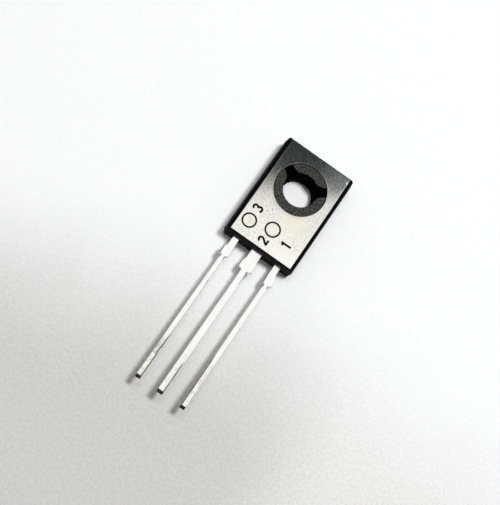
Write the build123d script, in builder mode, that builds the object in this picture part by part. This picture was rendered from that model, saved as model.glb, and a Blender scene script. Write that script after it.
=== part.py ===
from build123d import *
import math
import os

# A three-lead plastic power package of the TO-225AA outline, lying with its metal face up.
# Frame: origin on the screw hole's axis where the plastic face rests on the floor,
# +X across the package, +Y away from the leads, +Z up through the metal face. Millimetres.

os.makedirs("parts", exist_ok=True)

# Moulded case, measured at the parting line, where it is largest
case_length = 10.92
case_width = 7.58
case_thickness = 2.54
case_corner_r = 0.30
draft_deg = 5.0
hole_to_far_end = 3.85

# From the metal face down to the leads' lower side, where the two halves of the mould meet
metal_face_to_seat = 1.40

# Screw hole, and the plastic ring that insulates it from the heat spreader
hole_r = 1.51
hole_mouth_r = 1.66
ring_r = 2.52
ring_recess = 0.05

# Notches that the mould's two locating pins leave in the ring, opening out towards the hole
notch_from = 30
notch_apart = 120
notch_width = 0.86
notch_flare_deg = 9.5
notch_mouth_r = 0.30

# Heat spreader: its face is flush with the case's, inside a narrow plastic margin
spreader_gauge = 0.51
spreader_side_margin = 0.27
spreader_far_margin = 0.04
spreader_near_margin = 0.04
spreader_edge_r = 0.08

# Leads outside the case; the cut that frees their tips slants under the upper side
lead_gauge = 0.51
lead_length = 16.25
tip_shear = 0.25
lead_pitch = 2.42
neck_pitch = 2.32
outer_neck_width = 0.68
outer_shoulder_width = 0.94
outer_lead_width = 0.51
middle_neck_width = 1.17
middle_shoulder_width = 1.38
middle_lead_width = 0.66
neck_length = 0.95
slope_length = 0.40
shoulder_length = 0.77
shoulder_step = 0.12
lead_rise_deg = 3.5
rise_start = 0.30

# What was left where the frame's tie bar was cut off, near the tips
tie_bar_from_tip = 3.55
tie_bar_width = 0.70
tie_bar_step = 0.05

# Lead ends inside the case: bond pads on the outer two, a tongue on the middle one
pad_width = 1.48
pad_length = 1.25
pad_chamfer = 0.30
pad_setback = 0.60
tongue_width = 1.40
tongue_flat = 0.75
joggle_start = 0.20
joggle_run = 0.40

# Die, solder films and bond wires
solder_film = 0.05
die_size = 2.30
die_thickness = 0.28
die_to_tongue = 0.32
mt1_wire_r = 0.19
mt1_foot = 0.28
mt1_loop_r = 0.80
gate_wire_r = 0.10
gate_foot = 0.18
gate_loop_r = 0.35
wire_sink = 0.03
wire_drop = 0.52

# Levels
seat_z = case_thickness - metal_face_to_seat
lead_top_z = seat_z + lead_gauge
spreader_back_z = case_thickness - spreader_gauge
solder_back_z = spreader_back_z - solder_film
die_face_z = solder_back_z - die_thickness
ring_z = case_thickness - ring_recess

# The case's ends and the spreader inside its face
far_end_y = hole_to_far_end
lead_end_y = far_end_y - case_length
face_inset = metal_face_to_seat * math.tan(math.radians(draft_deg))
notch_spread = ring_r * math.tan(math.radians(notch_flare_deg))
spreader_width = case_width - 2 * (face_inset + spreader_side_margin)
spreader_far_y = far_end_y - face_inset - spreader_far_margin
spreader_near_y = lead_end_y + face_inset + spreader_near_margin
spreader_length = spreader_far_y - spreader_near_y

# Places along the leads, from their inner ends to their tips
pad_root_y = lead_end_y + pad_setback
pad_end_y = pad_root_y + pad_length
joggle_y = lead_end_y + joggle_start
joggle_end_y = joggle_y + joggle_run
tongue_end_y = joggle_end_y + tongue_flat
rise_y = lead_end_y - rise_start
neck_y = lead_end_y - neck_length
slope_y = neck_y - slope_length
shoulder_y = slope_y - shoulder_length
narrow_y = shoulder_y - shoulder_step
tip_y = lead_end_y - lead_length
tip_lift = (rise_y - tip_y) * math.tan(math.radians(lead_rise_deg))
tip_top_y = tip_y + tip_shear
tip_top_z = lead_top_z + (rise_y - tip_top_y) * math.tan(math.radians(lead_rise_deg))
tie_bar_y = tip_y + tie_bar_from_tip

# Die and wire feet: the die lies just beyond the tongue, the wires land on the pads
die_y = tongue_end_y + die_to_tongue + die_size / 2
pad_mid_y = (pad_root_y + pad_end_y) / 2


# Heat spreader: a flat stamping with a round cut-out for the insulating ring
with BuildSketch() as spreader_outline:
    with Locations((0, (spreader_far_y + spreader_near_y) / 2)):
        Rectangle(spreader_width, spreader_length)
    Circle(ring_r, mode=Mode.SUBTRACT)

with BuildPart() as heat_spreader:
    with BuildSketch(Plane.XY.offset(spreader_back_z)):
        add(spreader_outline.sketch)
    extrude(amount=spreader_gauge)
    fillet(heat_spreader.faces().sort_by(Axis.Z)[-1].edges(), radius=spreader_edge_r)


# Outer leads: a stamped outline cut to the side view of a strip that rises from its seat
neck_in = neck_pitch - outer_neck_width / 2
neck_out = neck_pitch + outer_neck_width / 2
shoulder_in = lead_pitch - outer_shoulder_width / 2
shoulder_out = lead_pitch + outer_shoulder_width / 2
narrow_in = lead_pitch - outer_lead_width / 2
narrow_out = lead_pitch + outer_lead_width / 2
pad_in = neck_pitch - pad_width / 2
pad_out = neck_pitch + pad_width / 2

with BuildPart() as lead_mt1:
    with BuildSketch():
        with BuildLine():
            Polyline(
                (pad_in, pad_end_y - pad_chamfer),
                (pad_in, pad_root_y),
                (neck_in, pad_root_y - pad_chamfer),
                (neck_in, neck_y),
                (shoulder_in, slope_y),
                (shoulder_in, shoulder_y),
                (narrow_in, narrow_y),
                (narrow_in, tip_y),
                (narrow_out, tip_y),
                (narrow_out, narrow_y),
                (shoulder_out, shoulder_y),
                (shoulder_out, slope_y),
                (neck_out, neck_y),
                (neck_out, pad_root_y - pad_chamfer),
                (pad_out, pad_root_y),
                (pad_out, pad_end_y - pad_chamfer),
                (pad_out - pad_chamfer, pad_end_y),
                (pad_in + pad_chamfer, pad_end_y),
                close=True,
            )
        make_face()
    extrude(amount=lead_top_z + tip_lift)
    with BuildSketch(Plane.YZ):
        with BuildLine():
            Polyline(
                (pad_end_y, seat_z),
                (rise_y, seat_z),
                (tip_y, seat_z + tip_lift),
                (tip_top_y, tip_top_z),
                (rise_y, lead_top_z),
                (pad_end_y, lead_top_z),
                close=True,
            )
        make_face()
    extrude(amount=pad_out + shoulder_out, both=True, mode=Mode.INTERSECT)

# The gate lead is its mirror image, with a step and a nick where the tie bar was cut
with BuildPart() as lead_gate:
    mirror(lead_mt1.part, about=Plane.YZ)
    with BuildSketch():
        with Locations((-narrow_in, tie_bar_y - tie_bar_width / 2)):
            Rectangle(2 * tie_bar_step, tie_bar_width)
        with Locations((-narrow_out, tie_bar_y - tie_bar_width)):
            RegularPolygon(radius=1.5 * tie_bar_step, side_count=4)
    extrude(amount=lead_top_z + tip_lift, mode=Mode.SUBTRACT)


# Middle lead: its inner end is joggled up to lie against the back of the heat spreader
with BuildPart() as lead_mt2:
    with BuildSketch():
        with BuildLine():
            Polyline(
                (0, tongue_end_y),
                (tongue_width / 2, tongue_end_y),
                (tongue_width / 2, joggle_end_y),
                (middle_neck_width / 2, joggle_y),
                (middle_neck_width / 2, neck_y),
                (middle_shoulder_width / 2, slope_y),
                (middle_shoulder_width / 2, shoulder_y),
                (middle_lead_width / 2, narrow_y),
                (middle_lead_width / 2, tip_y),
                (0, tip_y),
            )
            mirror(about=Plane.YZ)
        make_face()
        with Locations((middle_lead_width / 2, (tie_bar_y + tip_y) / 2)):
            Rectangle(2 * tie_bar_step, tie_bar_y - tip_y, mode=Mode.SUBTRACT)
    extrude(amount=lead_top_z + tip_lift)
    with BuildSketch(Plane.YZ):
        with BuildLine():
            Polyline(
                (tongue_end_y, solder_back_z - lead_gauge),
                (joggle_end_y, solder_back_z - lead_gauge),
                (joggle_y, seat_z),
                (rise_y, seat_z),
                (tip_y, seat_z + tip_lift),
                (tip_top_y, tip_top_z),
                (rise_y, lead_top_z),
                (joggle_y, lead_top_z),
                (joggle_end_y, solder_back_z),
                (tongue_end_y, solder_back_z),
                close=True,
            )
        make_face()
    extrude(amount=tongue_width + middle_shoulder_width, both=True, mode=Mode.INTERSECT)

# Solder film between the middle lead's tongue and the spreader
with BuildPart() as mt2_lead_solder:
    with BuildSketch(Plane.XY.offset(solder_back_z)):
        with Locations((0, tongue_end_y - tongue_flat / 2)):
            Rectangle(tongue_width, tongue_flat)
    extrude(amount=solder_film)


# Die on the back of the spreader, over its own solder film
with BuildPart() as die_solder:
    with BuildSketch(Plane.XY.offset(solder_back_z)):
        with Locations((0, die_y)):
            Rectangle(die_size, die_size)
    extrude(amount=solder_film)

with BuildPart() as triac_die:
    with BuildSketch(Plane.XY.offset(die_face_z)):
        with Locations((0, die_y)):
            Rectangle(die_size, die_size)
    extrude(amount=die_thickness)


def wire_route(on_die, on_pad, wire_r, foot, loop_r):
    """Centre line of a bond wire in the upright plane through its two feet.

    It lies flat for one foot each side of each landing and turns sharply at the heels, where
    the bonding tool pressed. Between them it dips in a round loop, on runs that would meet
    wire_drop below the pads. Each foot is sunk by wire_sink, to be cut flat there.
    """
    span_x = on_pad[0] - on_die[0]
    span_y = on_pad[1] - on_die[1]
    span = math.hypot(span_x, span_y)
    upright = Plane(origin=(*on_die, 0), x_dir=(span_x, span_y, 0), z_dir=(span_y, -span_x, 0))
    die_level = die_face_z - wire_r + wire_sink
    pad_level = seat_z - wire_r + wire_sink
    with BuildLine(upright) as route:
        Polyline(
            (-foot, die_level),
            (foot, die_level),
            (span / 2, seat_z - wire_drop),
            (span - foot, pad_level),
            (span + foot, pad_level),
        )
        fillet(route.vertices().sort_by(Axis.Z)[0], radius=loop_r)
    return route.line


# Main wire, from the die's large contact to the first main terminal's pad
mt1_route = wire_route(
    on_die=(die_size / 8, die_y + die_size / 16),
    on_pad=(neck_pitch, pad_mid_y),
    wire_r=mt1_wire_r,
    foot=mt1_foot,
    loop_r=mt1_loop_r,
)

with BuildPart() as mt1_wire:
    with BuildSketch(Plane(origin=mt1_route @ 0, z_dir=mt1_route % 0)):
        Circle(mt1_wire_r)
    sweep(path=mt1_route, transition=Transition.RIGHT)
    add(triac_die.part, mode=Mode.SUBTRACT)
    add(lead_mt1.part, mode=Mode.SUBTRACT)

# Gate wire, from the contact in the die's corner to the gate lead's pad
gate_route = wire_route(
    on_die=(-die_size / 3, die_y - die_size / 3.3),
    on_pad=(-neck_pitch, pad_mid_y),
    wire_r=gate_wire_r,
    foot=gate_foot,
    loop_r=gate_loop_r,
)

with BuildPart() as gate_wire:
    with BuildSketch(Plane(origin=gate_route @ 0, z_dir=gate_route % 0)):
        Circle(gate_wire_r)
    sweep(path=gate_route, transition=Transition.RIGHT)
    add(triac_die.part, mode=Mode.SUBTRACT)
    add(lead_gate.part, mode=Mode.SUBTRACT)


# Moulded case: two drafted halves, the hole and its ring, and the buried pieces' pockets
with BuildPart() as moulded_case:
    with BuildSketch(Plane.XY.offset(seat_z)) as parting_outline:
        with Locations((0, (far_end_y + lead_end_y) / 2)):
            RectangleRounded(case_width, case_length, case_corner_r)
    extrude(amount=metal_face_to_seat, taper=draft_deg)
    extrude(parting_outline.sketch, amount=-seat_z, taper=draft_deg)

    # Pocket of the heat spreader, then the ring's top set below the metal face
    with BuildSketch(Plane.XY.offset(spreader_back_z)):
        add(spreader_outline.sketch)
    extrude(amount=spreader_gauge, mode=Mode.SUBTRACT)
    with BuildSketch(Plane.XY.offset(ring_z)):
        Circle(ring_r)
    extrude(amount=ring_recess, mode=Mode.SUBTRACT)

    # Screw hole: straight up to the parting plane, then opening out to the ring's top
    with BuildSketch():
        Circle(hole_r)
    extrude(amount=seat_z, mode=Mode.SUBTRACT)
    with BuildSketch(Plane.XY.offset(seat_z)):
        Circle(hole_r)
    with BuildSketch(Plane.XY.offset(ring_z)):
        Circle(hole_mouth_r)
    loft(mode=Mode.SUBTRACT)

    # Notches of the locating pins, down to the parting plane, rounded where they meet the hole
    with BuildSketch(Plane.XY.offset(seat_z)):
        with PolarLocations(
            0, 2, start_angle=notch_from, angular_range=notch_apart, endpoint=True
        ):
            Polygon(
                (0, notch_width / 2 + notch_spread),
                (0, -notch_width / 2 - notch_spread),
                (ring_r, -notch_width / 2),
                (ring_r, notch_width / 2),
                align=None,
            )
        Circle(ring_r, mode=Mode.INTERSECT)
    extrude(amount=ring_z - seat_z, mode=Mode.SUBTRACT)
    fillet(moulded_case.edges().filter_by(GeomType.HYPERBOLA), radius=notch_mouth_r)

    # Everything that the plastic was moulded round
    add(lead_mt1.part, mode=Mode.SUBTRACT)
    add(lead_mt2.part, mode=Mode.SUBTRACT)
    add(lead_gate.part, mode=Mode.SUBTRACT)
    add(mt2_lead_solder.part, mode=Mode.SUBTRACT)
    add(die_solder.part, mode=Mode.SUBTRACT)
    add(triac_die.part, mode=Mode.SUBTRACT)
    add(mt1_wire.part, mode=Mode.SUBTRACT)
    add(gate_wire.part, mode=Mode.SUBTRACT)


moulded_case.part.label = "moulded_case"
export_step(moulded_case.part, "parts/moulded_case.step")

heat_spreader.part.label = "heat_spreader"
export_step(heat_spreader.part, "parts/heat_spreader.step")

lead_mt1.part.label = "lead_mt1"
export_step(lead_mt1.part, "parts/lead_mt1.step")

lead_mt2.part.label = "lead_mt2"
export_step(lead_mt2.part, "parts/lead_mt2.step")

lead_gate.part.label = "lead_gate"
export_step(lead_gate.part, "parts/lead_gate.step")

mt2_lead_solder.part.label = "mt2_lead_solder"
export_step(mt2_lead_solder.part, "parts/mt2_lead_solder.step")

die_solder.part.label = "die_solder"
export_step(die_solder.part, "parts/die_solder.step")

triac_die.part.label = "triac_die"
export_step(triac_die.part, "parts/triac_die.step")

mt1_wire.part.label = "mt1_wire"
export_step(mt1_wire.part, "parts/mt1_wire.step")

gate_wire.part.label = "gate_wire"
export_step(gate_wire.part, "parts/gate_wire.step")
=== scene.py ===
import math

import bmesh
import bpy
import numpy as np
from mathutils import Matrix, Vector


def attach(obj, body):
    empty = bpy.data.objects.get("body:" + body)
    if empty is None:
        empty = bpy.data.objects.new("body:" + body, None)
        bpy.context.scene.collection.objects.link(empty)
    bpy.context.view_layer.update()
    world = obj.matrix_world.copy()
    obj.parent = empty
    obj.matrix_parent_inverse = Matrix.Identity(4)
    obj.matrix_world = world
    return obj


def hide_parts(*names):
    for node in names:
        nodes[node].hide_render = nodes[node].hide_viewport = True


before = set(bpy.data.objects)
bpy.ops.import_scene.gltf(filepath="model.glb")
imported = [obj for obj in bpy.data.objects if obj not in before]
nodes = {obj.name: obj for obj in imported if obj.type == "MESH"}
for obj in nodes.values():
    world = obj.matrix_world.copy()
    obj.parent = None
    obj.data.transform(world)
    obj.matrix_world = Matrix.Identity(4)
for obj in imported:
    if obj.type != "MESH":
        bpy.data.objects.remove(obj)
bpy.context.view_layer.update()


# ---------------------------------------------------------------------------------------
# Heat spreader: a flat copper stamping, plated with satin nickel, with a round cut-out for
# the plastic ring. The punch rounds its upper edges, and the plastic is moulded round it.
# ---------------------------------------------------------------------------------------

MM = 0.001


def skin(name, grid, material, stands_for=None, closed=False, ends=False, marks=None):
    """Makes a piece from a grid of points in millimetres.

    Each row of the grid is a closed loop round the piece, and each quad joins two
    neighbours of one row to the same two of the next. closed joins the last row to the
    first, and ends fills the first and last row with one face each. marks holds numbers
    for every grid point, by name, which the material reads as attributes. Points that
    fall together are welded, and edges sharper than the crease angle stay sharp.
    """
    weld_distance, crease = 2e-7, math.radians(32)
    rows, columns = grid.shape[:2]
    index = np.arange(rows * columns).reshape(rows, columns)
    beside = np.roll(index, -1, axis=1)
    quads = np.stack([index, beside, np.roll(beside, -1, 0), np.roll(index, -1, 0)], -1)
    quads = (quads if closed else quads[:-1]).reshape(-1, 4).tolist()
    if ends:
        quads += [index[0].tolist(), index[-1][::-1].tolist()]
    mesh = bpy.data.meshes.new(name)
    mesh.from_pydata((grid.reshape(-1, 3) * MM).tolist(), [], quads)
    for label, numbers in (marks or {}).items():
        layer = mesh.attributes.new(label, "FLOAT", "POINT")
        layer.data.foreach_set("value", numbers.ravel().astype(np.float32))
    shell = bmesh.new()
    shell.from_mesh(mesh)
    bmesh.ops.remove_doubles(shell, verts=shell.verts, dist=weld_distance)
    bmesh.ops.recalc_face_normals(shell, faces=shell.faces)
    shell.to_mesh(mesh)
    shell.free()
    mesh.polygons.foreach_set("use_smooth", np.ones(len(mesh.polygons), dtype=bool))
    mesh.set_sharp_from_angle(angle=crease)
    mesh.materials.append(material)
    made = bpy.data.objects.new(name, mesh)
    bpy.context.scene.collection.objects.link(made)
    if stands_for:
        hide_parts(stands_for)
    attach(made, "root")
    return made


def reach(angles, half_width, low, high, corner, inset):
    """How far a ray from the hole's axis goes, at each angle, to a rectangle's outline.

    The rectangle spans half_width each side of x = 0 and low to high in y, with its
    corners rounded. inset moves the outline inwards. The distance is found by halving: a
    point is inside while its distance to the rounded rectangle is less than -inset.
    """
    farthest, halvings = 20.0, 46
    way = np.stack([np.cos(angles), np.sin(angles)], -1)
    centre = np.array([0.0, (low + high) / 2])
    half = np.array([half_width, (high - low) / 2]) - corner
    near, far = np.zeros(angles.shape), np.full(angles.shape, farthest)
    for _ in range(halvings):
        middle = (near + far) / 2
        beyond = np.abs(way * middle[..., None] - centre) - half
        outside = np.linalg.norm(np.maximum(beyond, 0), axis=-1)
        gap = outside + np.minimum(beyond.max(axis=-1), 0) - corner
        near, far = np.where(gap < -inset, middle, near), np.where(gap < -inset, far, middle)
    return near


def polar(radius, angles, height):
    """Points at a radius and angle round the hole's axis, at a height."""
    height = np.broadcast_to(height, angles.shape)
    return np.stack([radius * np.cos(angles), radius * np.sin(angles), height], -1)


def corner_angles(half_width, low, high, corner):
    """The angles, seen from the hole's axis, of points along the rectangle's four corners."""
    sweep = np.linspace(0, math.pi / 2, 9)
    found = []
    for side_x, side_y, start in ((1, high, 0), (-1, high, 1), (-1, low, 2), (1, low, 3)):
        x = side_x * (half_width - corner) + corner * np.cos(sweep + start * math.pi / 2)
        inner_y = side_y - math.copysign(corner, side_y)
        y = inner_y + corner * np.sin(sweep + start * math.pi / 2)
        found.append(np.arctan2(y, x))
    return np.concatenate(found) % math.tau


def put(tree, kind, inputs=None, **settings):
    """Adds a shader node; an input is given by name or number, as a value or as a link."""
    made = tree.nodes.new(kind)
    for name, value in settings.items():
        setattr(made, name, value)
    for key, value in (inputs or {}).items():
        if isinstance(value, bpy.types.NodeSocket):
            tree.links.new(value, made.inputs[key])
        else:
            made.inputs[key].default_value = value
    return made


def calc(tree, operation, *values):
    """One Math node's result; the values are numbers or other nodes' outputs."""
    return put(tree, "ShaderNodeMath", dict(enumerate(values)), operation=operation).outputs[0]


def fade(tree, value, low, high, to_low=0.0, to_high=1.0):
    """Carries value from low..high to to_low..to_high, held at both ends and eased between."""
    inputs = {"Value": value, "From Min": low, "From Max": high}
    inputs.update({"To Min": to_low, "To Max": to_high})
    return put(tree, "ShaderNodeMapRange", inputs, interpolation_type="SMOOTHSTEP").outputs[0]


def blend(tree, share, first, second):
    """Mixes two colours by share, which is 0 for the first and 1 for the second."""
    mix = put(tree, "ShaderNodeMix", {0: share}, data_type="RGBA")
    for socket, value in ((mix.inputs[6], first), (mix.inputs[7], second)):
        if isinstance(value, bpy.types.NodeSocket):
            tree.links.new(value, socket)
        else:
            socket.default_value = (*value, 1)
    return mix.outputs[2]


def relief(tree, height, depth, under=None):
    """A Bump node: height from 0 to 1 stands for depth metres."""
    inputs = {"Height": height, "Distance": depth, "Strength": 1.0}
    if under is not None:
        inputs["Normal"] = under
    return put(tree, "ShaderNodeBump", inputs).outputs[0]


def place_axes(tree):
    """The piece's own x, y and z, in metres."""
    place = put(tree, "ShaderNodeTexCoord").outputs["Object"]
    return put(tree, "ShaderNodeSeparateXYZ", {0: place}).outputs


def off_axis(tree, axes):
    """The distance in metres from the screw hole's axis."""
    flat = put(tree, "ShaderNodeCombineXYZ", {"X": axes[0], "Y": axes[1]}).outputs[0]
    return put(tree, "ShaderNodeVectorMath", {0: flat}, operation="LENGTH").outputs["Value"]


def effect(name, inputs, output):
    """Starts a node group; returns its tree, its inputs by name, and its output socket."""
    tree = bpy.data.node_groups.new(name, "ShaderNodeTree")
    for label, value in inputs.items():
        socket = tree.interface.new_socket(label, in_out="INPUT", socket_type="NodeSocketFloat")
        socket.default_value = value
    tree.interface.new_socket(output, in_out="OUTPUT", socket_type="NodeSocketFloat")
    given = tree.nodes.new("NodeGroupInput").outputs
    return tree, given, tree.nodes.new("NodeGroupOutput").inputs[0]


def use(tree, group, *values):
    """Places a node group in a material, with its own values in order, and returns its output."""
    made = put(tree, "ShaderNodeGroup", node_tree=group)
    for socket, value in zip(made.inputs, values):
        socket.default_value = value
    return made.outputs[0]


def new_surface(name):
    """A new material's node tree, with its default Principled shader."""
    material = bpy.data.materials.new(name)
    material.use_nodes = True
    return material.node_tree


def finish_surface(name, colour, roughness, normal, metallic=0.0, **constants):
    """Ties a material's Principled shader to its colour, roughness and normal."""
    material = bpy.data.materials[name]
    shader = material.node_tree.nodes["Principled BSDF"]
    material.node_tree.links.new(colour, shader.inputs["Base Color"])
    material.node_tree.links.new(roughness, shader.inputs["Roughness"])
    material.node_tree.links.new(normal, shader.inputs["Normal"])
    shader.inputs["Metallic"].default_value = metallic
    for label, value in constants.items():
        shader.inputs[label.replace("_", " ")].default_value = value
    return material


# Grain: soft noise on the piece's own coordinates, drawn out along y.
grain, given, result = effect(
    "grain", {"Per metre": 5000.0, "Drawn out": 1.0, "Detail": 3.0}, "Value"
)
place = put(grain, "ShaderNodeTexCoord").outputs["Object"]
along = calc(grain, "DIVIDE", 1.0, given["Drawn out"])
drawn = put(grain, "ShaderNodeCombineXYZ", {"X": 1.0, "Y": along, "Z": 1.0}).outputs[0]
place = put(grain, "ShaderNodeVectorMath", {0: place, 1: drawn}, operation="MULTIPLY").outputs[0]
noise = put(grain, "ShaderNodeTexNoise",
            {"Vector": place, "Scale": given["Per metre"], "Detail": given["Detail"]})
grain.links.new(noise.outputs[0], result)

# Specks: round spots, one in each chosen cell, in the share of the cells that Share says.
specks, given, result = effect(
    "specks", {"Per metre": 3000.0, "Size": 0.25, "Share": 0.1}, "Value"
)
place = put(specks, "ShaderNodeTexCoord").outputs["Object"]
cells = put(specks, "ShaderNodeTexVoronoi", {"Vector": place, "Scale": given["Per metre"]})
lot = put(specks, "ShaderNodeSeparateColor", {0: cells.outputs["Color"]}).outputs[0]
chosen = calc(specks, "LESS_THAN", lot, given["Share"])
rim = calc(specks, "MULTIPLY", given["Size"], 0.5)
spot = fade(specks, cells.outputs["Distance"], rim, given["Size"], 1.0, 0.0)
specks.links.new(calc(specks, "MULTIPLY", chosen, spot), result)

# Scratches: long thin marks, where drawn-out noise crosses its middle, in patches only.
scratches, given, result = effect(
    "scratches", {"Per metre": 3000.0, "Angle": 0.0, "Width": 0.01}, "Value"
)
place = put(scratches, "ShaderNodeTexCoord").outputs["Object"]
turned = put(scratches, "ShaderNodeVectorRotate", {"Vector": place, "Angle": given["Angle"]},
             rotation_type="Z_AXIS").outputs[0]
drawn = put(scratches, "ShaderNodeVectorMath", {0: turned, 1: (1.0, 0.04, 1.0)},
            operation="MULTIPLY").outputs[0]
lines = put(scratches, "ShaderNodeTexNoise",
            {"Vector": drawn, "Scale": given["Per metre"], "Detail": 1.0}).outputs[0]
apart = calc(scratches, "ABSOLUTE", calc(scratches, "SUBTRACT", lines, 0.5))
line = fade(scratches, apart, 0.0, given["Width"], 1.0, 0.0)
patch = put(scratches, "ShaderNodeTexNoise", {"Vector": place, "Scale": 500.0}).outputs[0]
scratches.links.new(calc(scratches, "MULTIPLY", line, fade(scratches, patch, 0.5, 0.6)), result)

plate_half, plate_low, plate_high = 3.3975, -6.9074, 3.6875
plate_corner = 0.03
plate_back, plate_face, plate_round = 2.03, 2.54, 0.08
cut_out, cut_out_round = 2.52, 0.04


def distance_on_plate(tree, x, y):
    """The distance in metres from a point of the plate's face, given in millimetres."""
    place = put(tree, "ShaderNodeTexCoord").outputs["Object"]
    point = (x * MM, y * MM, plate_face * MM)
    apart = put(tree, "ShaderNodeVectorMath", {0: place, 1: point}, operation="DISTANCE")
    return apart.outputs["Value"]


# Nickel: mottled grey, brighter along the rim and at a nick at the far right corner, partly
# as rubbed wear and partly as a painted highlight, with fine scratches along it, pits, and
# dark spatter beside the hole.
tree = new_surface("nickel_plate_surface")
mottle = use(tree, grain, 6500.0, 1.3, 4.0)
clouds = use(tree, grain, 900.0, 1.0, 2.0)
rubs = use(tree, scratches, 8000.0, 0.10, 0.02)
pits = use(tree, specks, 2400.0, 0.17, 0.06)
axes = place_axes(tree)
side = calc(tree, "SUBTRACT", plate_half * MM, calc(tree, "ABSOLUTE", axes[0]))
lower = calc(tree, "SUBTRACT", axes[1], plate_low * MM)
upper = calc(tree, "SUBTRACT", plate_high * MM, axes[1])
rim = calc(tree, "MINIMUM", side, calc(tree, "ADD", calc(tree, "MINIMUM", lower, upper), 0.1 * MM))
# The rim and the nick are brighter: partly rubbed wear, partly a painted highlight.
rubbed_and_highlit = fade(tree, rim, 0.08 * MM, 0.22 * MM, 1.0, 0.0)
nick = distance_on_plate(tree, 3.27, 3.24)
rubbed_and_highlit = calc(tree, "MAXIMUM", rubbed_and_highlit, fade(tree, nick, 0.08 * MM, 0.2 * MM, 1.0, 0.0))
tone = blend(tree, fade(tree, mottle, 0.35, 0.65), (0.78, 0.775, 0.71), (0.98, 0.975, 0.915))
tone = blend(tree, fade(tree, clouds, 0.38, 0.66, 0.0, 0.65), tone, (0.87, 0.845, 0.745))
# A warm patch between the hole and the leads, and a brighter, yellower strip along the lead end,
# most of all to the right.
toasted = fade(tree, distance_on_plate(tree, 0.9, -2.9), 0.6 * MM, 1.9 * MM, 0.65, 0.0)
tone = blend(tree, toasted, tone, (0.96, 0.915, 0.765))
brighter_lead_end = calc(tree, "MULTIPLY", fade(tree, axes[1], -6.4 * MM, -5.0 * MM, 1.0, 0.0),
             fade(tree, axes[0], -1.5 * MM, 2.0 * MM, 0.0, 0.75))
tone = blend(tree, brighter_lead_end, tone, (0.995, 0.99, 0.93))
tone = blend(tree, calc(tree, "MULTIPLY", pits, 0.55), tone, (0.34, 0.32, 0.28))
spattered = fade(tree, distance_on_plate(tree, -1.5, -3.0), 0.3 * MM, 1.3 * MM, 0.75, 0.0)
spots = calc(tree, "MULTIPLY", use(tree, specks, 3300.0, 0.30, 0.40), spattered)
tone = blend(tree, spots, tone, (0.20, 0.19, 0.17))
tone = blend(tree, calc(tree, "MULTIPLY", rubs, 0.35), tone, (0.97, 0.96, 0.92))
tone = blend(tree, calc(tree, "MULTIPLY", rubbed_and_highlit, 0.4), tone, (0.97, 0.96, 0.93))
# The plastic's flash creeps a little over the cut-out's edge, the left side and the far
# right corner, and blackens them.
ragged = calc(tree, "MULTIPLY", mottle, -0.05 * MM)
crept = calc(tree, "ADD", off_axis(tree, axes), ragged)
crept = fade(tree, crept, (cut_out + 0.02) * MM, (cut_out + 0.06) * MM, 1.0, 0.0)
left_side = calc(tree, "ADD", calc(tree, "ADD", axes[0], plate_half * MM), ragged)
left_side = fade(tree, left_side, 0.045 * MM, 0.080 * MM, 1.0, 0.0)
far_corner = calc(tree, "MULTIPLY", fade(tree, axes[1], -0.5 * MM, 2.5 * MM), -0.06 * MM)
far_corner = calc(tree, "ADD", calc(tree, "SUBTRACT", plate_half * MM, axes[0]), far_corner)
far_corner = fade(tree, far_corner, -0.01 * MM, 0.03 * MM, 1.0, 0.0)
crept = calc(tree, "MAXIMUM", crept, calc(tree, "MAXIMUM", left_side, far_corner))
tone = blend(tree, crept, tone, (0.012, 0.012, 0.012))
gloss = fade(tree, mottle, 0.3, 0.7, 0.13, 0.20)
gloss = calc(tree, "ADD", gloss, calc(tree, "MULTIPLY", rubbed_and_highlit, 0.14))
gloss = calc(tree, "ADD", gloss, calc(tree, "MULTIPLY", rubs, 0.06))
bumps = relief(tree, mottle, 2.5e-6)
bumps = relief(tree, rubs, -7e-7, bumps)
bumps = relief(tree, fade(tree, nick, 0.02 * MM, 0.18 * MM, 1.0, 0.0), 1.3e-4, bumps)
nickel = finish_surface("nickel_plate_surface", tone, gloss, bumps, metallic=1.0)

turn = np.sort(np.concatenate([
    np.linspace(0, math.tau, 360, endpoint=False),
    corner_angles(plate_half, plate_low, plate_high, plate_corner),
]))
quarter = np.linspace(0, math.pi / 2, 6)
outline = [(0.0, plate_back), (0.0, plate_face - plate_round - 0.01)]
outline += [(plate_round * (1 - math.cos(a)), plate_face - plate_round * (1 - math.sin(a)))
            for a in quarter]
rows = [
    polar(reach(turn, plate_half, plate_low, plate_high, plate_corner, inset), turn, height)
    for inset, height in outline
]
inner = [
    (cut_out + cut_out_round * (1 - math.sin(a)), plate_face - cut_out_round * (1 - math.cos(a)))
    for a in quarter
]
inner = [polar(radius, turn, height) for radius, height in inner + [(cut_out, plate_back)]]
across = [rows[-1] * (1 - s) + inner[0] * s for s in np.linspace(0, 1, 10)[1:-1]]
below = [inner[-1] * (1 - s) + rows[0] * s for s in np.linspace(0, 1, 6)[1:-1]]
skin("heat_spreader_plated", np.array(rows + across + inner + below), nickel,
     stands_for="heat_spreader", closed=True)


# ---------------------------------------------------------------------------------------
# Die and solder films: a square of silicon with metal on both faces, soldered to the back
# of the spreader, and a second film that joins the middle lead's tongue to it.
# ---------------------------------------------------------------------------------------

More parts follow.
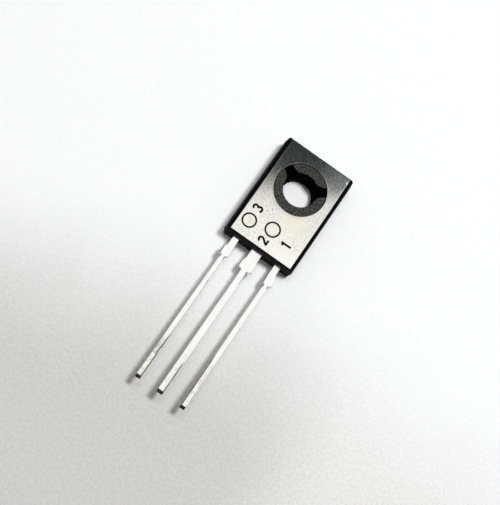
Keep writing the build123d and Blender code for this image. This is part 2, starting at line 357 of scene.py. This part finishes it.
tree = new_surface("solder_surface")
flow = use(tree, grain, 6000.0, 1.0, 3.0)
tone = blend(tree, flow, (0.46, 0.47, 0.49), (0.62, 0.63, 0.65))
solder = finish_surface(
    "solder_surface", tone, fade(tree, use(tree, grain, 800.0), 0.3, 0.7, 0.3, 0.5),
    relief(tree, flow, 6e-6), metallic=1.0,
)
tree = new_surface("silicon_surface")
sawn = use(tree, grain, 20000.0, 6.0, 2.0)
tone = blend(tree, sawn, (0.13, 0.14, 0.17), (0.24, 0.25, 0.29))
silicon = finish_surface(
    "silicon_surface", tone, fade(tree, use(tree, grain, 2000.0), 0.3, 0.7, 0.12, 0.22),
    relief(tree, sawn, 5e-7), metallic=1.0,
)
for name, surface in (("die_solder", solder), ("mt2_lead_solder", solder), ("triac_die", silicon)):
    nodes[name].data.materials.clear()
    nodes[name].data.materials.append(surface)


# ---------------------------------------------------------------------------------------
# Leads: three strips of one stamped copper frame, tin plated. The outer two end in pads for
# the wires, the middle one in a raised tongue, and a tie bar was cut off near the tips.
# ---------------------------------------------------------------------------------------

strip_gauge = 0.51
seat = 1.14
case_end = -7.07
rise_from, rise = case_end - 0.30, math.tan(math.radians(3.5))
neck_end, slope_end = case_end - 0.95, case_end - 1.35
shoulder_end, narrow_from = case_end - 2.12, case_end - 2.24
tip, tip_shear = case_end - 16.25, 0.25
tie_bar = tip + 3.55
tongue_z = 1.98

# Tin: bright near the case, dull, stained and pitted past the tie bar, and near black where
# the strip was sheared, on its side walls and in bands along its upper edges: partly bare
# sheared metal, partly painted shade.
tree = new_surface("tinned_copper_surface")
streaks = use(tree, grain, 5000.0, 6.0, 3.0)
clouds = use(tree, grain, 1500.0, 4.0, 4.0)
dents = use(tree, specks, 2200.0, 0.20, 0.07)
scuffs = use(tree, scratches, 7000.0, 0.05, 0.03)
sheared_and_shaded = put(tree, "ShaderNodeAttribute", attribute_name="sheared_and_shaded").outputs["Fac"]
dull = put(tree, "ShaderNodeAttribute", attribute_name="dull").outputs["Fac"]
tone = blend(tree, fade(tree, streaks, 0.3, 0.7), (0.945, 0.945, 0.92), (0.99, 0.99, 0.975))
stain = blend(tree, fade(tree, clouds, 0.35, 0.65), (0.50, 0.49, 0.45), (0.97, 0.96, 0.88))
tone = blend(tree, dull, tone, stain)
tone = blend(tree, calc(tree, "MULTIPLY", dents, 0.45), tone, (0.30, 0.28, 0.24))
pitted = fade(tree, use(tree, grain, 3600.0, 1.6, 5.0), 0.50, 0.62)
pitted = calc(tree, "MULTIPLY", pitted, calc(tree, "MULTIPLY", dull, 0.75))
tone = blend(tree, pitted, tone, (0.34, 0.33, 0.29))
# Near-black bare copper for the sheared ends, side walls and edge bands: partly bare metal, partly
# painted shade.
bare_and_shaded = blend(tree, fade(tree, streaks, 0.35, 0.65), (0.012, 0.010, 0.008), (0.075, 0.060, 0.045))
tone = blend(tree, sheared_and_shaded, tone, bare_and_shaded)
gloss = fade(tree, clouds, 0.3, 0.7, 0.10, 0.18)
gloss = calc(tree, "ADD", gloss, calc(tree, "MULTIPLY", dull, 0.12))
gloss = calc(tree, "ADD", gloss, calc(tree, "MULTIPLY", sheared_and_shaded, 0.35))
bumps = relief(tree, streaks, 4e-6)
bumps = relief(tree, scuffs, -3e-6, bumps)
bumps = relief(tree, dents, -6e-6, bumps)
tinned = finish_surface("tinned_copper_surface", tone, gloss, bumps, metallic=1.0)


def strip(name, stands_for, left, right, bottom, dullness, burrs_and_edge_shade):
    """A stamped strip that runs from its inner end to its tip, as loops of its section.

    left, right and bottom are lists of (y, value), joined by straight lines. Each loop is
    the rounded rectangle between them, with the punch's large round on the two upper
    corners. The last loops lean back by tip_shear from the lower to the upper side. The
    last argument gives, for each side (-1 or 1), how dark its upper edge is painted, as
    (y, strength) points: partly burrs, partly painted shade along the edge. dullness is
    how dull the tin is past the tie bar, from 0 to 1.
    """
    spacing, upper_round, lower_round, edge_band, end_run = 0.12, 0.075, 0.025, 0.12, 1.0
    dull_start, dull_run = 2.5, 3.0
    left, right, bottom = (np.array(line) for line in (left, right, bottom))
    start = left[0, 0]
    breaks = np.concatenate([left[:, 0], right[:, 0], bottom[:, 0]])
    even = np.linspace(start, tip, int((start - tip) / spacing))
    y = np.unique(np.concatenate([even, breaks]))[::-1]
    y = y[np.concatenate([[True], np.diff(y) < -0.004])]
    low_x, high_x, base = (
        np.interp(-y, -line[:, 0], line[:, 1]) for line in (left, right, bottom)
    )
    sweep = np.linspace(0, math.pi / 2, 5)
    rounds = (upper_round, upper_round, lower_round, lower_round)
    sides = ((1, 1), (-1, 1), (-1, -1), (1, -1))
    # across is a point's place across the strip: its real part goes with the half width,
    # its imaginary part is in millimetres. flank is 1 on the side walls, and facing is the
    # side whose upper edge the point is on. Two more points bound the edges' dark bands,
    # which are painted shade.
    across, height, flank, facing = [], [], [], []
    for number, (radius, (side_x, side_z)) in enumerate(zip(rounds, sides)):
        bend = sweep + number * math.pi / 2
        across.append(side_x + 1j * radius * (np.cos(bend) - side_x))
        height.append((1 + side_z) / 2 * strip_gauge + radius * (np.sin(bend) - side_z))
        flank.append(np.abs(np.cos(bend)))
        facing.append(side_x * np.clip(1.5 * np.sin(bend), 0, 1))
        if number < 2:
            at = len(bend) * (1 - number)
            across[-1] = np.insert(across[-1], at, side_x * (1 - 1j * edge_band))
            height[-1] = np.insert(height[-1], at, strip_gauge)
            flank[-1] = np.insert(flank[-1], at, 0)
            facing[-1] = np.insert(facing[-1], at, 0)
    across, height, flank, facing = (
        np.concatenate(part) for part in (across, height, flank, facing)
    )
    middle_x, half_width = (low_x + high_x) / 2, (high_x - low_x) / 2
    x = middle_x[:, None] + half_width[:, None] * across.real + across.imag
    z = base[:, None] + height
    lean = np.clip((tip + end_run - y) / end_run, 0, 1)[:, None] ** 6
    long = y[:, None] + lean * tip_shear * height / strip_gauge
    grid = np.stack([x, long, z], -1)
    middle = grid[-1].mean(axis=0)
    cap = [middle + (grid[-1] - middle) * s for s in (0.6, 0.2)]
    grid = np.concatenate([grid, np.array(cap)])
    step = np.abs(np.gradient(low_x, y)) + np.abs(np.gradient(high_x, y))
    # The side walls are painted near black: partly sheared metal, partly painted shade.
    side_wall_shade = flank ** 4 * np.where(height > 0.4 * strip_gauge, 0.55, 0.8)
    sheared_and_shaded = side_wall_shade[None, :] * (1 - 0.4 * np.clip(step, 0, 1)[:, None])
    for side, points in burrs_and_edge_shade.items():
        points = np.array(points)
        strength = np.interp(-y, -points[:, 0], points[:, 1], left=0.0)
        sheared_and_shaded = np.maximum(sheared_and_shaded, np.clip(facing * side, 0, 1) * strength[:, None])
    sheared_and_shaded[-1] = 1
    sheared_and_shaded = np.concatenate([sheared_and_shaded, np.ones((2, sheared_and_shaded.shape[1]))])
    duller = np.clip((tie_bar + dull_start - y) / dull_run, 0, 1)
    dull = dullness * duller[:, None] * np.ones(len(across))
    dull = np.concatenate([dull, dull[-1:], dull[-1:]])
    return skin(name, grid, tinned, stands_for=stands_for, ends=True,
                marks={"sheared_and_shaded": sheared_and_shaded, "dull": dull})


# The outer leads: the pad and neck stand a little nearer the middle than the rest.
neck_x, shoulder_in, shoulder_out, run_in, run_out = 2.32, 1.95, 2.89, 2.165, 2.675
pad_tip_half, pad_half, neck_half = 0.44, 0.74, 0.34
pad_end, pad_root, pad_slope = case_end + 1.85, case_end + 0.60, 0.30
pad_and_neck = [(pad_end, pad_tip_half), (pad_end - pad_slope, pad_half), (pad_root, pad_half),
                (pad_root - pad_slope, neck_half), (neck_end, neck_half)]
inner_edge = [(y, neck_x - half) for y, half in pad_and_neck]
inner_edge += [(slope_end, shoulder_in), (shoulder_end, shoulder_in), (narrow_from, run_in),
               (tip, run_in)]
outer_edge = [(y, neck_x + half) for y, half in pad_and_neck]
outer_edge += [(slope_end, shoulder_out), (shoulder_end, shoulder_out), (narrow_from, run_out),
               (tip, run_out)]
seat_line = [(pad_end, seat), (rise_from, seat), (tip, seat + (rise_from - tip) * rise)]
strip("lead_mt1_tinned", "lead_mt1", inner_edge, outer_edge, seat_line, 0.40,
      {-1: [(-8.2, 0), (-8.5, 0.85), (-9.4, 0.85), (-9.7, 0.2), (-14.0, 0.2), (-17.5, 0.35),
            (-18.3, 0.95)],
       1: [(-9.1, 0), (-9.2, 0.8), (-9.45, 0.8), (-9.6, 0)]})

# The gate lead mirrors it, with a shallow step and a nick where the tie bar was cut.
nick_deep, cut_step = 0.075, 0.05
nicked = outer_edge[:-1] + [(tie_bar - 0.62, run_out), (tie_bar - 0.70, run_out - nick_deep),
                            (tie_bar - 0.78, run_out), outer_edge[-1]]
stepped = inner_edge[:-1] + [(tie_bar, run_in), (tie_bar - 0.01, run_in + cut_step),
                             (tie_bar - 0.70, run_in + cut_step), (tie_bar - 0.71, run_in),
                             inner_edge[-1]]
strip("lead_gate_tinned", "lead_gate", [(y, -x) for y, x in nicked],
      [(y, -x) for y, x in stepped], seat_line, 0.80,
      {1: [(-9.1, 0), (-9.2, 0.8), (-9.5, 0.8), (-9.7, 0.1), (-12.0, 0.2), (-12.1, 0.8),
           (-12.25, 0.8), (-12.35, 0.2), (-18.0, 0.25), (-19.0, 0.95)],
       -1: [(-8.1, 0), (-8.3, 0.5), (-8.6, 0.9), (-9.4, 0.9), (-9.7, 0.2), (-12.5, 0.2),
            (-14.0, 0)]})

# The middle lead is wider, narrows on one side past the tie bar, and ends in the tongue.
tongue_end, joggle_end, joggle = case_end + 1.35, case_end + 0.60, case_end + 0.20
tongue_half, neck_half, shoulder_half, run_half = 0.70, 0.585, 0.69, 0.33
middle = [(tongue_end, tongue_half), (joggle_end, tongue_half), (joggle, neck_half),
          (neck_end, neck_half), (slope_end, shoulder_half), (shoulder_end, shoulder_half),
          (narrow_from, run_half)]
cut_side = middle + [(tie_bar, run_half), (tie_bar - 0.01, run_half - cut_step),
                     (tip, run_half - cut_step)]
plain_side = [(y, -x) for y, x in middle] + [(tip, -run_half)]
tongue_line = [(tongue_end, tongue_z - strip_gauge), (joggle_end, tongue_z - strip_gauge),
               (joggle, seat), (rise_from, seat), (tip, seat + (rise_from - tip) * rise)]
strip("lead_mt2_tinned", "lead_mt2", plain_side, cut_side, tongue_line, 0.25,
      {1: [(-9.1, 0), (-9.2, 0.8), (-9.5, 0.8), (-9.7, 0.4), (-10.6, 0.4), (-10.8, 0),
           (tie_bar, 0), (tie_bar - 0.5, 0.95)],
       -1: [(-9.6, 0), (-9.7, 0.2), (-12.5, 0.2), (-14.0, 0)]})


# ---------------------------------------------------------------------------------------
# Bond wires: soft aluminium wire, drawn round and pressed on with ultrasound, a thick one
# for the main current and a thin one for the gate.
# ---------------------------------------------------------------------------------------

tree = new_surface("aluminium_wire_surface")
lines = use(tree, grain, 15000.0, 4.0, 2.0)
tone = blend(tree, lines, (0.76, 0.77, 0.78), (0.88, 0.88, 0.89))
aluminium = finish_surface(
    "aluminium_wire_surface", tone, fade(tree, use(tree, grain, 1500.0), 0.3, 0.7, 0.25, 0.4),
    relief(tree, lines, 1e-6), metallic=1.0,
)
for name in ("mt1_wire", "gate_wire"):
    nodes[name].data.materials.clear()
    nodes[name].data.materials.append(aluminium)


# ---------------------------------------------------------------------------------------
# Moulded case: black epoxy compound, squeezed round the lead frame in a steel mould. The
# ring round the screw hole keeps a screw off the metal, and has two locating-pin notches.
# ---------------------------------------------------------------------------------------

case_half, case_low, case_high, case_corner = 3.79, case_end, 3.85, 0.30
parting = seat
draft = math.tan(math.radians(5.0))
hole, mouth = 1.51, 1.66
ring_top = 2.49
notch_width, notch_spread, notch_round = 0.86, math.tan(math.radians(9.5)), 0.30

# Compound: near black, blacker and dead matt inside the hole and the notches, where the
# black is painted shade, a little paler on the far end and the plain face, paler on the
# lead end too, at its upper right as painted light and darker towards its foot and left as
# painted shade, and grey and coarser on the ring.
tree = new_surface("moulding_compound_surface")
axes = place_axes(tree)
from_axis = off_axis(tree, axes)
on_ring = calc(
    tree, "MULTIPLY",
    calc(tree, "LESS_THAN", from_axis, (cut_out + 0.01) * MM),
    fade(tree, axes[2], 2.44 * MM, 2.487 * MM),
)
fine = use(tree, grain, 9000.0, 1.0, 4.0)
coarse = use(tree, grain, 3200.0, 1.0, 3.0)
filler = use(tree, specks, 7000.0, 0.35, 0.15)
dark = blend(tree, fine, (0.0015, 0.0015, 0.0016), (0.0060, 0.0060, 0.0061))
# The lead end is painted paler at its upper right, as painted light, and darker towards its foot
# and its left, as painted shade.
lead_end_light_and_shade = fade(tree, axes[1], (case_low - 0.02) * MM, (case_low + 0.15) * MM, 1.0, 0.0)
lead_end_light_and_shade = calc(tree, "MULTIPLY", lead_end_light_and_shade, fade(tree, coarse, 0.25, 0.75, 0.5, 1.0))
lead_end_light_and_shade = calc(tree, "MULTIPLY", lead_end_light_and_shade, fade(tree, axes[2], 0.5 * MM, 1.7 * MM, 0.0, 1.0))
lead_end_light_and_shade = calc(tree, "MULTIPLY", lead_end_light_and_shade, fade(tree, axes[0], -3.5 * MM, 1.5 * MM, 0.3, 1.0))
plain = calc(
    tree, "MAXIMUM",
    fade(tree, axes[1], (case_high - 0.15) * MM, (case_high - 0.08) * MM),
    fade(tree, axes[2], 0.01 * MM, 0.05 * MM, 1.0, 0.0),
)
plain = calc(tree, "MULTIPLY", plain, fade(tree, coarse, 0.25, 0.75, 0.5, 0.9))
dark = blend(tree, calc(tree, "MAXIMUM", lead_end_light_and_shade, plain), dark, (0.034, 0.034, 0.032))
# Inside the hole and the notches the compound is painted blacker: painted shade.
inside = fade(tree, from_axis, (cut_out + 0.02) * MM, (cut_out + 0.10) * MM, 1.0, 0.0)
dark = blend(tree, inside, dark, (0.0008, 0.0008, 0.0008))
gritty = use(tree, grain, 6800.0, 1.0, 5.0)
glints = use(tree, specks, 4200.0, 0.32, 0.22)
grey = blend(tree, fade(tree, gritty, 0.36, 0.64), (0.016, 0.017, 0.016), (0.086, 0.088, 0.082))
grey = blend(tree, calc(tree, "MULTIPLY", filler, 0.4), grey, (0.13, 0.13, 0.12))
grey = blend(tree, calc(tree, "MULTIPLY", glints, 0.5), grey, (0.21, 0.215, 0.20))
tone = blend(tree, on_ring, dark, grey)
gloss = fade(tree, coarse, 0.3, 0.7, 0.50, 0.66)
gloss = calc(tree, "ADD", gloss, calc(tree, "MULTIPLY", inside, 0.3))
bumps = relief(tree, fine, 5e-6)
bumps = relief(tree, calc(tree, "MULTIPLY", gritty, on_ring), 8e-6, bumps)
compound = finish_surface(
    "moulding_compound_surface", tone, gloss, bumps, Specular_IOR_Level=0.02
)


def notch_half_angle(radius):
    """Half of a notch's angle at each radius from the hole's axis.

    A notch's side is the line that is notch_width / 2 off its middle line at the ring's
    rim and opens inwards; where it meets the hole's mouth it curves away, as a quarter
    circle of notch_round does.
    """
    off = notch_width / 2 + cut_out * notch_spread
    steep = 1 + notch_spread ** 2
    along = (off * notch_spread + np.sqrt(steep * radius ** 2 - off ** 2)) / steep
    half = off - notch_spread * along
    into = np.clip(notch_round - (radius - mouth), 0, notch_round)
    half = half + notch_round - np.sqrt(notch_round ** 2 - into ** 2)
    return np.arcsin(np.clip(half / radius, 0, 0.9))


# Columns of the grid, round the hole: a notch's floor, its wall, the ring as far as the
# next notch's wall, and so on. deep is 0 on the ring and 1 on a notch's floor.
notch_at = np.radians([30.0, 150.0])
floor_columns, wall_columns, far_columns, near_columns = 14, 5, 110, 250
rim_half = float(notch_half_angle(np.array(cut_out)))
column_kind, column_share, column_deep = [], [], []
for number in (0, 1):
    begin = notch_at[number] + rim_half
    finish = (notch_at[1] if number == 0 else notch_at[0] + math.tau) - rim_half
    corners = corner_angles(case_half, case_low, case_high, case_corner)
    seat_corners = corner_angles(plate_half, plate_low, plate_high, plate_corner)
    corners = np.concatenate([corners, seat_corners])
    corners = np.concatenate([corners, corners + math.tau])
    corners = corners[(corners > begin) & (corners < finish)]
    stretch = np.linspace(begin, finish, far_columns if number == 0 else near_columns)
    share = (np.unique(np.concatenate([stretch, corners])) - begin) / (finish - begin)
    floor, wall = np.linspace(-1, 1, floor_columns), np.linspace(1, 0, wall_columns + 2)[1:-1]
    wall_edge = np.ones(wall_columns)
    column_kind += [np.full(floor_columns, number), np.full(wall_columns, number),
                    np.full(len(share), number + 2), np.full(wall_columns, 1 - number)]
    column_share += [floor, wall_edge, share, -wall_edge]
    column_deep += [np.ones(floor_columns), wall, np.zeros(len(share)), wall[::-1]]
column_kind, column_share, column_deep = (
    np.concatenate(part) for part in (column_kind, column_share, column_deep)
)


def column_angles(radius):
    """Each column's angle where the grid stands at radius from the hole's axis."""
    half = notch_half_angle(np.clip(radius, hole, cut_out))
    in_notch = np.where(column_kind == 0, notch_at[0], notch_at[1]) + column_share * half
    begin = np.where(column_kind == 2, notch_at[0], notch_at[1]) + half
    finish = np.where(column_kind == 2, notch_at[1], notch_at[0] + math.tau) - half
    return np.where(column_kind < 2, in_notch, begin + column_share * (finish - begin))


wide = column_angles(np.array(cut_out))


def case_row(inset, height):
    """One loop of the case's outer side, moved in by inset, at a height."""
    return polar(reach(wide, case_half, case_low, case_high, case_corner, inset), wide, height)


def ring_row(radius, height, notch_radius, notch_height):
    """One loop inside the ring's rim: the first radius and height hold on the ring, the
    others on the notches' floors, and a notch's wall goes evenly from one to the other."""
    here = radius + (notch_radius - radius) * column_deep
    return polar(here, column_angles(here), height + (notch_height - height) * column_deep)


def between(first, last, count):
    """Loops spaced evenly between two others."""
    return [first * (1 - s) + last * s for s in np.linspace(0, 1, count + 2)[1:-1]]


# From the bore's foot: out over the plain face, up the drafted sides with the flash line,
# in to the plate's seat and under the plate, up the cut-out to the ring (in a notch, only to
# its floor), in over the ring, and down the cone to the straight bore.
edge_round, top_round = 0.05, 0.03
flash, flash_half_thick = 0.012, 0.008
low_inset, top_inset = parting * draft, (plate_face - parting) * draft
bore_foot = ring_row(hole + 0.03, 0.0, hole + 0.03, 0.0)
sides = [case_row(low_inset + edge_round * (1 - math.sin(a)), edge_round * (1 - math.cos(a)))
         for a in quarter]
sides += [case_row(low_inset * (1 - s), parting * s) for s in (0.3, 0.6, 0.9, 0.985)]
sides += [case_row(-flash, parting + side * flash_half_thick) for side in (-1, 1)]
sides += [case_row(top_inset * s, parting + (plate_face - parting) * s)
          for s in (0.013, 0.1, 0.4, 0.7, 0.97)]
sides += [
    case_row(top_inset + top_round * (1 - math.cos(a)), plate_face - top_round * (1 - math.sin(a)))
    for a in quarter
]
seat_edge = reach(wide, plate_half, plate_low, plate_high, plate_corner, 0.0)
pocket = [polar(seat_edge, wide, height)
          for height in (plate_face - 0.005, plate_face - 0.1, plate_back)]
ring = [
    ring_row(cut_out, plate_back, cut_out, plate_back),
    ring_row(cut_out, 2.25, cut_out, 1.6),
    ring_row(cut_out, ring_top - 0.02, cut_out, parting + 0.03),
    ring_row(cut_out - 0.02, ring_top, cut_out - 0.03, parting),
]
ring += [ring_row(radius, ring_top, radius, parting)
         for radius in np.linspace(cut_out - 0.06, mouth + 0.03, 16)]
ring += [ring_row(mouth + 0.008, ring_top - 0.006, mouth + 0.008, parting),
         ring_row(mouth, ring_top - 0.03, mouth, parting)]
ring += [ring_row(mouth + (hole - mouth) * s, ring_top + (parting - ring_top) * s,
                  mouth + (hole - mouth) * s, parting)
         for s in (0.1, 0.3, 0.5, 0.7, 0.9, 1.0)]
bore = [ring_row(hole, height, hole, height) for height in (0.9, 0.5, 0.15, 0.03)]
grid = [bore_foot] + between(bore_foot, sides[0], 10) + sides + between(sides[-1], pocket[0], 1)
grid += pocket + between(pocket[-1], ring[0], 4) + ring + bore
skin("moulded_case_compound", np.array(grid), compound,
     stands_for="moulded_case", closed=True)


# ---------------------------------------------------------------------------------------
# Ink: the leads' numbers and two plain rings, stamped on the plate in black epoxy ink.
# ---------------------------------------------------------------------------------------

tree = new_surface("marking_ink_surface")
patchy = use(tree, grain, 9000.0, 1.0, 3.0)
tone = blend(tree, fade(tree, patchy, 0.45, 0.75), (0.002, 0.002, 0.002), (0.030, 0.028, 0.024))
ink = finish_surface(
    "marking_ink_surface", tone, fade(tree, patchy, 0.3, 0.7, 0.45, 0.65),
    relief(tree, patchy, 3e-6), Specular_IOR_Level=0.03,
)
ink_thick, digit_stroke, ring_stroke = 0.004, 0.21, 0.17


def stamped(name, path, width):
    """A flat stroke of ink: the path is the (x, y) points of its middle line on the plate,
    in millimetres, and each cross loop is a thin box across it."""
    path = np.array(path)
    ahead = np.gradient(path, axis=0)
    ahead /= np.linalg.norm(ahead, axis=1, keepdims=True)
    side = np.stack([-ahead[:, 1], ahead[:, 0]], -1) * width / 2
    loops = []
    for share, height in ((1, 0.0), (1, 0.6), (0.9, 1.0), (-0.9, 1.0), (-1, 0.6), (-1, 0.0)):
        spot = path + side * share
        loops.append(np.column_stack([spot, np.full(len(spot), plate_face + ink_thick * height)]))
    return skin(name, np.stack(loops, 1), ink, ends=True)


def arc(centre_x, centre_y, radius_x, radius_y, start, end, count=24):
    """Points along part of an ellipse, from one angle to another, in degrees."""
    bend = np.radians(np.linspace(start, end, count))
    return np.stack([centre_x + radius_x * np.cos(bend), centre_y + radius_y * np.sin(bend)], -1)


def digit_on_plate(name, strokes, x, y):
    """Stamps a digit drawn 0.62 wide and 1.05 tall, which reads along +Y with its top
    towards -X, from its lower left corner at (x, y)."""
    for number, points in enumerate(strokes):
        across, up = np.array(points).T
        stamped(f"{name}_{number}", np.stack([x - up, y + across], -1), digit_stroke)


one = [[(0.10, 0.78), (0.20, 0.84), (0.32, 0.965)], [(0.33, 0.0), (0.33, 0.5), (0.33, 1.05)]]
two = [np.concatenate([arc(0.31, 0.73, 0.225, 0.235, 165, -25),
                       arc(0.31, 0.73, 0.225, 0.25, -35, -45, 3),
                       [(0.26, 0.32), (0.10, 0.085)]]),
       [(0.02, 0.085), (0.30, 0.085), (0.60, 0.085)]]
three = [arc(0.28, 0.755, 0.215, 0.21, 160, -80), arc(0.28, 0.30, 0.235, 0.225, 85, -155)]
digit_on_plate("ink_one", one, 2.33, -5.55)
digit_on_plate("ink_two", two, 0.33, -6.45)
digit_on_plate("ink_three", three, -1.77, -4.15)
stamped("ink_ring_left", arc(-2.30, -5.30, 0.66, 0.66, 0, 360, 73), ring_stroke)
stamped("ink_ring_middle", arc(-0.02, -4.75, 0.70, 0.70, 0, 360, 73), ring_stroke)


# ---------------------------------------------------------------------------------------
# Studio: a sheet of pale paper, a graded dark flag that only the bright metal sees, a pale
# sky, two soft lamps high over the far end, and the camera.
# ---------------------------------------------------------------------------------------

def sheet_of(name, corners, material):
    """A flat four-cornered sheet."""
    mesh = bpy.data.meshes.new(name)
    mesh.from_pydata(corners, [], [(0, 1, 2, 3)])
    mesh.materials.append(material)
    made = bpy.data.objects.new(name, mesh)
    bpy.context.scene.collection.objects.link(made)
    return made


# Paper: white beyond the case, and greyer round the leads, most of all to the left: painted
# shade where the light falls off. Its felted fibres show more where it is greyer.
tree = new_surface("paper_surface")
axes = place_axes(tree)
clouds = use(tree, grain, 120.0, 1.0, 3.0)
fibre = use(tree, grain, 4600.0, 1.5, 4.0)
falling = calc(tree, "MULTIPLY", calc(tree, "MINIMUM", axes[0], 0.0), -0.35)
falling = calc(tree, "ADD", axes[1], falling)
falling = calc(tree, "ADD", falling, calc(tree, "MULTIPLY", clouds, 6 * MM))
grey_end, white_start = -21.5 * MM, -1.0 * MM
to_the_right = fade(tree, axes[0], 8 * MM, 18 * MM)
shaded = blend(tree, to_the_right, (0.675, 0.675, 0.66), (0.86, 0.86, 0.845))
tone = blend(tree, fade(tree, falling, grey_end, white_start), shaded, (0.975, 0.98, 0.985))
felt = fade(tree, falling, grey_end, white_start, 0.20, 0.05)
felt = calc(tree, "MULTIPLY", fade(tree, fibre, 0.3, 0.7), felt)
tone = blend(tree, felt, tone, (0.30, 0.30, 0.31))
paper = finish_surface(
    "paper_surface", tone, fade(tree, fibre, 0.0, 1.0, 0.85, 0.95),
    relief(tree, fibre, 1.2e-5), Specular_IOR_Level=0.1,
)
paper_half = 0.6
sheet_of(
    "paper",
    [(-paper_half, -paper_half, 0), (paper_half, -paper_half, 0),
     (paper_half, paper_half, 0), (-paper_half, paper_half, 0)],
    paper,
)

# Flag: dark over the far end and clear over the leads. Its edge slants and softens to the
# left, and it is paler to the right. The camera sees it mirrored in the plate: a place on
# the plate shows the flag mirror_scale times as far out, and moved by mirror_x, mirror_y.
flag_height, flag_half, flag_long = 0.015, 0.02, 0.050
mirror_scale, mirror_x, mirror_y = 1.106, 0.35 * MM, 5.28 * MM
tree = new_surface("flag_surface")
axes = place_axes(tree)
plate_x = calc(tree, "DIVIDE", calc(tree, "SUBTRACT", axes[0], mirror_x), mirror_scale)
plate_y = calc(tree, "DIVIDE", calc(tree, "SUBTRACT", axes[1], mirror_y), mirror_scale)
edge_slant, edge_drop = 0.50, 0.95 * MM
edge = calc(tree, "SUBTRACT", calc(tree, "MULTIPLY", plate_x, edge_slant), edge_drop)
soft_slant, soft_middle, soft_least = 0.45, 3.6 * MM, 1.0 * MM
softness = calc(tree, "SUBTRACT", soft_middle, calc(tree, "MULTIPLY", plate_x, soft_slant))
softness = calc(tree, "MAXIMUM", softness, soft_least)
past = calc(tree, "DIVIDE", calc(tree, "SUBTRACT", plate_y, edge), softness)
cover = fade(tree, past, -0.5, 0.5)
veil = fade(tree, plate_y, -5.5 * MM, -1.5 * MM, 0.0, 0.13)
cover = calc(tree, "MAXIMUM", cover, veil)
paler = fade(tree, plate_x, -0.5 * MM, 3.7 * MM)
shade = blend(tree, paler, (0.0335, 0.038, 0.043), (0.196, 0.212, 0.221))
shine = put(tree, "ShaderNodeEmission", {"Color": shade, "Strength": 1.0}).outputs[0]
clear = put(tree, "ShaderNodeBsdfTransparent").outputs[0]
both = put(tree, "ShaderNodeMixShader", {0: cover, 1: clear, 2: shine}).outputs[0]
tree.links.new(both, tree.nodes["Material Output"].inputs["Surface"])
tree.nodes.remove(tree.nodes["Principled BSDF"])
flag = sheet_of(
    "flag",
    [(-flag_half, 0.0, flag_height), (flag_half, 0.0, flag_height),
     (flag_half, flag_long, flag_height), (-flag_half, flag_long, flag_height)],
    bpy.data.materials["flag_surface"],
)
flag.visible_camera = False
flag.visible_diffuse = False
flag.visible_shadow = False
flag.visible_transmission = False

# Sky: plain white to the camera and in mirrors. Its light on the scene is brightest beyond
# the far end and a little brighter on the left, and is never less than sky_least.
sky_middle, sky_far, sky_left, sky_least = 0.205, 0.30, 0.12, 0.03
world = bpy.data.worlds.new("studio")
bpy.context.scene.world = world
world.use_nodes = True
tree = world.node_tree
tree.nodes.clear()
paths = put(tree, "ShaderNodeLightPath").outputs
seen = calc(tree, "MAXIMUM", paths["Is Camera Ray"], paths["Is Glossy Ray"])
seen = calc(tree, "MAXIMUM", seen, paths["Is Transmission Ray"])
axes = place_axes(tree)
level = calc(tree, "ADD", calc(tree, "MULTIPLY", axes[1], sky_far), sky_middle)
level = calc(tree, "SUBTRACT", level, calc(tree, "MULTIPLY", axes[0], sky_left))
level = calc(tree, "MAXIMUM", level, sky_least)
fill = put(tree, "ShaderNodeBackground", {"Color": (1, 1, 1, 1), "Strength": level}).outputs[0]
white = put(tree, "ShaderNodeBackground", {"Color": (1, 1, 1, 1), "Strength": 1.0}).outputs[0]
mixed = put(tree, "ShaderNodeMixShader", {0: seen, 1: fill, 2: white}).outputs[0]
tree.links.new(mixed, tree.nodes.new("ShaderNodeOutputWorld").inputs["Surface"])

# Lamps: a strong one to the right casts the shadows, a weak one to the left softens them.
for name, place, size, energy in (
    ("softbox", (0.068, 0.080, 0.400), 0.080, 1.165),
    ("softbox_left", (-0.064, 0.072, 0.400), 0.120, 0.255),
):
    lamp_data = bpy.data.lights.new(name, "AREA")
    lamp_data.shape = "DISK"
    lamp_data.size = size
    lamp_data.energy = energy
    lamp = bpy.data.objects.new(name, lamp_data)
    bpy.context.scene.collection.objects.link(lamp)
    lamp.location = place
    lamp.rotation_mode = "QUATERNION"
    lamp.rotation_quaternion = lamp.location.to_track_quat("Z", "Y")
    lamp.visible_glossy = False

# Camera: near overhead. It looks at the hole's mouth from camera_far away, turned by roll,
# and stands a little aside and nearer the leads, so that the whole part is in the picture.
tilt, lean, roll = math.radians(16.55), math.radians(-1.16), math.radians(34.89)
camera_far, camera_aside, camera_nearer = 0.1498, 0.000537, 0.00749
aim = Vector((0, 0, plate_face * MM))
towards = Vector((
    math.sin(lean) * math.cos(tilt), -math.sin(tilt), math.cos(lean) * math.cos(tilt)
))
up = (Vector((0, 1, 0)) - towards * towards.y).normalized()
right = up.cross(towards)
across = right * math.cos(roll) + up * math.sin(roll)
upward = up * math.cos(roll) - right * math.sin(roll)
camera_data = bpy.data.cameras.new("camera")
camera_data.lens = 114.29
camera_data.sensor_width = 36
camera_data.clip_start = 0.005
camera_data.clip_end = 10
camera = bpy.data.objects.new("camera", camera_data)
bpy.context.scene.collection.objects.link(camera)
stance = Matrix((across, upward, towards)).transposed().to_4x4()
stance.translation = aim + towards * camera_far - right * camera_aside - up * camera_nearer
camera.matrix_world = stance
bpy.context.scene.camera = camera

bpy.context.scene.view_settings.view_transform = "Standard"
